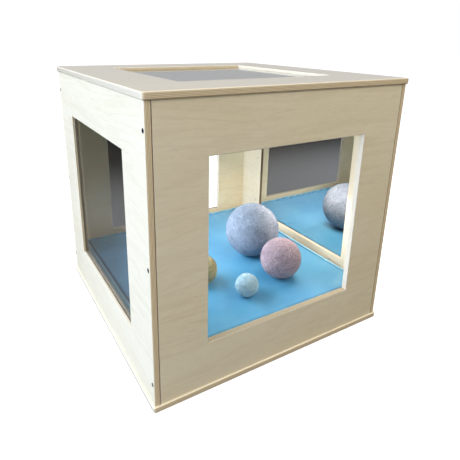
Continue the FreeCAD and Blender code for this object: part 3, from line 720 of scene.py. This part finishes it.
def sew(points, inset, low, high):
    """Press the seam into the mat's top, raise the cloth beside it, tuck in the sides, and add creases.

    Gives the sewn points, and at each of them the seam from 0 to 1 less the piping beside it; this sets where
    the cover's color gets painted shade in the seam and a painted highlight on the piping."""
    # Along the front the seam lies further out, where the sill hides it.
    frontward = np.clip((-points[:, Y] - np.abs(points[:, X])) / 0.08, 0, 1)
    place = inset - SEAM_INSET + 7 * MM * frontward
    seam = bell(place, 2.8 * MM) * (inset >= 0)
    piping = bell(place + 7 * MM, 3.5 * MM)
    welt = piping + bell(place - 8 * MM, 5 * MM)
    relief = WELT_HEIGHT * welt - SEAM_DEPTH * seam + edge_rise(points)
    points[:, Z] += np.where(inset >= 0, relief, 0)
    points[:, Z] -= creases(points) * (inset > MAT_ROLL * 0.6)
    side = (inset < 0) & (points[:, Z] > low.z + 1 * MM)
    for level in (low.z + 3 * MM, high.z - 12 * MM):
        tuck = bell(points[:, Z] - level, 1.6 * MM) * side * 1.2 * MM
        outward = points[:, :2] / np.abs(points[:, :2]).max(axis=1)[:, None]
        points[:, :2] -= outward * tuck[:, None]
    for axis in (X, Y):
        points[:, axis] = np.clip(points[:, axis], -high[axis], high[axis])
    points[:, Z] = np.clip(points[:, Z], low.z, high.z + MOST_RISE)
    return points, seam - piping


def make_mat():
    """The floor mat: a filled cover with a sewn edge all round, and a woven underside."""
    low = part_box("mat_base_sheet")[0]
    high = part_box("mat_cover")[1]
    slack = Vector((3, 3, 3.5)) * MM
    points, faces, upper_faces, inset = mat_grid(low, high - slack)
    move = swell(points, faces)
    length = np.linalg.norm(move, axis=1)
    points = points + move * np.minimum(1, SWELL_CAP / np.maximum(length, 1e-9))[:, None]
    points, seam = sew(points, inset, low, high)
    mesh = mesh_from("mat_cushion", points, faces)
    layer = mesh.attributes.new("seam", "FLOAT", "POINT")
    layer.data.foreach_set("value", seam.astype(np.float32))
    pale, deep = (0.100, 0.345, 0.565), (0.070, 0.290, 0.505)
    # The second tone here is painted shade for the seam's groove.
    edge, seam_shade = (0.19, 0.45, 0.64), (0.008, 0.06, 0.10)
    top_cloth = vinyl("blue_vinyl", pale, deep, edge, seam_shade)
    under_cloth = cloth("underside_weave", (0.05, 0.06, 0.07), (0.12, 0.13, 0.14), 2.4 * MM)
    piece = add_piece("mat_cushion", "mat", "mat_vinyl", mesh, top_cloth, under_cloth)
    for polygon in mesh.polygons[upper_faces:]:
        polygon.material_index = 1
    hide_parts("mat_cover", "mat_core", "mat_base_sheet")


TOOTH_PITCH = 2.2 * MM
TOOTH_HALF_LONG = 0.8 * MM
TOOTH_HALF_WIDE = 0.9 * MM


def make_zip():
    """The zip's tape, with two rows of teeth along its middle, and its slider."""
    low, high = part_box("mat_zip")
    thick = high.y - low.y
    middle = (low.z + high.z) / 2
    points, faces = [], []

    def bar(start, end, round_off):
        """A box with its outer long edges taken off."""
        first = len(points)
        for x in (start[X], end[X]):
            points.extend(((x, start[Y], start[Z]), (x, start[Y], end[Z]),
                           (x, end[Y] - round_off, end[Z]), (x, end[Y], end[Z] - round_off),
                           (x, end[Y], start[Z] + round_off), (x, end[Y] - round_off, start[Z])))
        for index in range(6):
            following = (index + 1) % 6
            faces.append((first + index, first + following, first + 6 + following, first + 6 + index))
        faces.append(tuple(first + index for index in reversed(range(6))))
        faces.append(tuple(first + 6 + index for index in range(6)))

    for side in (-1, 1):
        inner, outer = middle + side * 0.25 * MM, (high.z if side > 0 else low.z)
        bar((low.x, low.y, min(inner, outer)), (high.x, low.y + thick * 0.5, max(inner, outer)), thick * 0.2)
    for tooth in range(int((high.x - low.x) / TOOTH_PITCH) - 1):
        side = 1 if tooth % 2 else -1
        x = low.x + TOOTH_PITCH * (tooth + 1)
        z = middle + side * 0.55 * MM
        start = x - TOOTH_HALF_LONG, low.y + thick * 0.4, z - TOOTH_HALF_WIDE
        end = x + TOOTH_HALF_LONG, high.y, z + TOOTH_HALF_WIDE
        bar(start, end, thick * 0.25)
    mesh = mesh_from("mat_zip_tape", points, faces, smooth=False)
    tape = cloth("zip_weave", (0.05, 0.20, 0.30), (0.10, 0.32, 0.45), 1.4 * MM)
    piece = add_piece("mat_zip_tape", "mat", "zip_tape", mesh, tape)
    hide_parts("mat_zip")
    paint("mat_zip_slider", metal("slider_metal", (0.45, 0.45, 0.44), (0.66, 0.65, 0.62), 0.3, 1.0))


FIRST_WOOL_SEED = 11


def make_balls():
    """The four felt balls, each with a pale, a middle and a deep tone, and a seed for its wool."""
    tones = (("blue", (0.40, 0.49, 0.61), (0.21, 0.27, 0.36), (0.09, 0.12, 0.18)),
             ("pink", (0.62, 0.53, 0.60), (0.36, 0.28, 0.34), (0.15, 0.11, 0.145)),
             ("yellow", (0.60, 0.56, 0.35), (0.40, 0.37, 0.21), (0.24, 0.21, 0.11)),
             ("mint", (0.55, 0.74, 0.84), (0.36, 0.57, 0.69), (0.20, 0.38, 0.48)))
    for seed, (shade, pale, middle, deep) in enumerate(tones, FIRST_WOOL_SEED):
        material = felt(shade + "_felt", pale, middle, deep)
        felt_ball("felt_ball_" + shade, "ball_" + shade, "felt_" + shade, material, seed)


# ---------------------------------------------------------------- stage

def seen_and_lit(tree, seen, lit):
    """A shader seen one way from outside, and another way by lights, in mirrors and through the panes.

    A ray is direct when it comes from the camera and has passed no pane."""
    path = tree.nodes.new("ShaderNodeLightPath")
    panes_off = tree.nodes.new("ShaderNodeMath")
    panes_off.operation = "SUBTRACT"
    tree.links.new(path.outputs["Is Camera Ray"], panes_off.inputs[0])
    tree.links.new(path.outputs["Transparent Depth"], panes_off.inputs[1])
    direct = tree.nodes.new("ShaderNodeMath")
    direct.operation = "GREATER_THAN"
    tree.links.new(panes_off.outputs[0], direct.inputs[0])
    direct.inputs[1].default_value = 0.5
    mix = tree.nodes.new("ShaderNodeMixShader")
    tree.links.new(direct.outputs[0], mix.inputs[0])
    tree.links.new(lit.outputs[0], mix.inputs[1])
    tree.links.new(seen.outputs[0], mix.inputs[2])
    return mix


ROOM_STRENGTH = 0.70


def make_world():
    """White behind the cube, and the soft light of a room: bright above, dimmer at eye level."""
    world = bpy.data.worlds.new("studio")
    bpy.context.scene.world = world
    world.use_nodes = True
    tree = world.node_tree
    seen = tree.nodes["Background"]
    seen.inputs["Color"].default_value = (1, 1, 1, 1)
    room = tree.nodes.new("ShaderNodeBackground")
    direction = tree.nodes.new("ShaderNodeTexCoord")
    parts = tree.nodes.new("ShaderNodeSeparateXYZ")
    ramp = tree.nodes.new("ShaderNodeValToRGB")
    tree.links.new(direction.outputs["Generated"], parts.inputs[0])
    tree.links.new(parts.outputs["Z"], ramp.inputs["Fac"])
    low, high = ramp.color_ramp.elements
    low.position, low.color = 0.02, (0.76, 0.77, 0.79, 1)
    high.position, high.color = 0.75, (1.0, 1.0, 1.0, 1)
    middle = ramp.color_ramp.elements.new(0.22)
    middle.color = (0.66, 0.66, 0.67, 1)
    tree.links.new(ramp.outputs["Color"], room.inputs["Color"])
    room.inputs["Strength"].default_value = ROOM_STRENGTH
    mix = seen_and_lit(tree, seen, room)
    tree.links.new(mix.outputs[0], tree.nodes["World Output"].inputs["Surface"])


FLOOR_SIDE = 40.0
FLOOR_CELLS = 24
FLOOR_GLOW = 0.6
# FAR_GREY is painted shade far behind the cube, BESIDE_GREY a painted pool of window light beside the left
# pane, and FRONT_GREY darkens the floor in front of the cube.
FLOOR_GREY, FAR_GREY = (0.15, 0.148, 0.145), (0.02, 0.018, 0.015)
FRONT_GREY, BESIDE_GREY = (0.05, 0.05, 0.05), (0.28, 0.28, 0.28)


def make_floor():
    """A pale floor that reflects like a grey one, so that the panes keep their depth."""
    places = [FLOOR_SIDE * (step / FLOOR_CELLS - 0.5) for step in range(FLOOR_CELLS + 1)]
    points = [(x, y, 0) for x in places for y in places]
    faces = []
    for i in range(FLOOR_CELLS):
        for j in range(FLOOR_CELLS):
            first = i * (FLOOR_CELLS + 1) + j
            faces.append((first, first + FLOOR_CELLS + 1, first + FLOOR_CELLS + 2, first + 1))
    mesh = mesh_from("floor", points, faces, smooth=False)
    graph = Graph("pale_floor", (0.9, 0.9, 0.9), 0.8)
    speck = graph.noise(graph.place(), 60, 2)
    pale = graph.mix(graph.ramp(speck, 0.3, 0.7), (0.92, 0.92, 0.92), (0.95, 0.95, 0.95))
    graph.feed(graph.shader.inputs["Base Color"], pale)
    graph.feed(graph.shader.inputs["Emission Color"], pale)
    graph.shader.inputs["Emission Strength"].default_value = FLOOR_GLOW

    # What lights and mirrors see: a grey floor with painted shade far behind, a darker stretch in front that
    # dims the light thrown back onto the cube's front, and a painted pool of window light beside the left
    # pane.
    grey = graph.tree.nodes.new("ShaderNodeBsdfDiffuse")
    spot = graph.node("SeparateXYZ", {0: graph.place()}).outputs
    beside = graph.ramp(graph.math("ABSOLUTE", graph.math("ADD", spot[X], 0.6)), 0.1, 0.4, 1.0, 0.0)
    lit = graph.math("MULTIPLY", beside, graph.ramp(spot[Y], 0.0, 0.5, 1.0, 0.0))
    lit = graph.math("MULTIPLY", lit, graph.ramp(spot[Y], -0.6, -0.25))
    dusk = graph.mix(graph.ramp(spot[Y], 0.6, 1.7), FLOOR_GREY, FAR_GREY)
    dusk = graph.mix(graph.ramp(spot[Y], -0.5, -0.25, 1.0, 0.0), dusk, FRONT_GREY)
    graph.feed(grey.inputs["Color"], graph.mix(lit, dusk, BESIDE_GREY))
    mix = seen_and_lit(graph.tree, graph.shader, grey)
    graph.tree.links.new(mix.outputs[0], graph.tree.nodes["Material Output"].inputs["Surface"])
    mesh.materials.append(graph.material)
    floor = bpy.data.objects.new("floor", mesh)
    bpy.context.scene.collection.objects.link(floor)


COOL, WARM = (0.585, 0.735, 1.0), (1.0, 0.94, 0.84)
NEUTRAL, BOUNCED = (0.97, 0.98, 1.0), (1.0, 0.82, 0.70)

# Each light's name, place, target, size, power, color and spread in degrees. The last two lie inside the
# cube: they stand for what the left pane lets in, and for what the right pane throws back.
LIGHTS = (
    ("window_light", (-2.7, -0.3, 1.5), (0, 0, 0.4), (2.4, 1.8), 128, COOL, 180),
    ("front_light", (1.3, -1.8, 2.6), (0, 0, 0.4), (1.6, 1.2), 31, WARM, 180),
    ("rear_light", (-0.6, 1.7, 1.25), (0.08, 0, 0.14), (0.9, 0.7), 20, WARM, 180),
    ("cabin_light", (-0.245, 0.05, 0.40), (0.30, -0.10, 0.15), (0.32, 0.26), 2.0, NEUTRAL, 140),
    ("mirror_light", (0.275, -0.07, 0.37), (0.145, -0.07, 0.10), (0.32, 0.10), 1.4, BOUNCED, 160),
)


def area_light(name, place, target, size, power, color, spread):
    """A soft rectangular light that neither the camera nor a mirror sees."""
    data = bpy.data.lights.new(name, "AREA")
    data.shape = "RECTANGLE"
    data.size, data.size_y = size
    data.energy = power
    data.color = color
    data.spread = math.radians(spread)
    lamp = bpy.data.objects.new(name, data)
    lamp.location = place
    lamp.rotation_euler = (Vector(target) - Vector(place)).to_track_quat("-Z", "Y").to_euler()
    lamp.visible_camera = False
    lamp.visible_glossy = False
    bpy.context.scene.collection.objects.link(lamp)


def make_stage():
    """A pale floor and background, a soft window to the left and weaker lights around the cube."""
    bpy.context.scene.view_settings.view_transform = "Standard"
    make_world()
    make_floor()
    for light in LIGHTS:
        area_light(*light)


aim_camera()
paint_wood()
paint_fixings()
paint_panes()
make_mat()
make_zip()
make_balls()
make_stage()
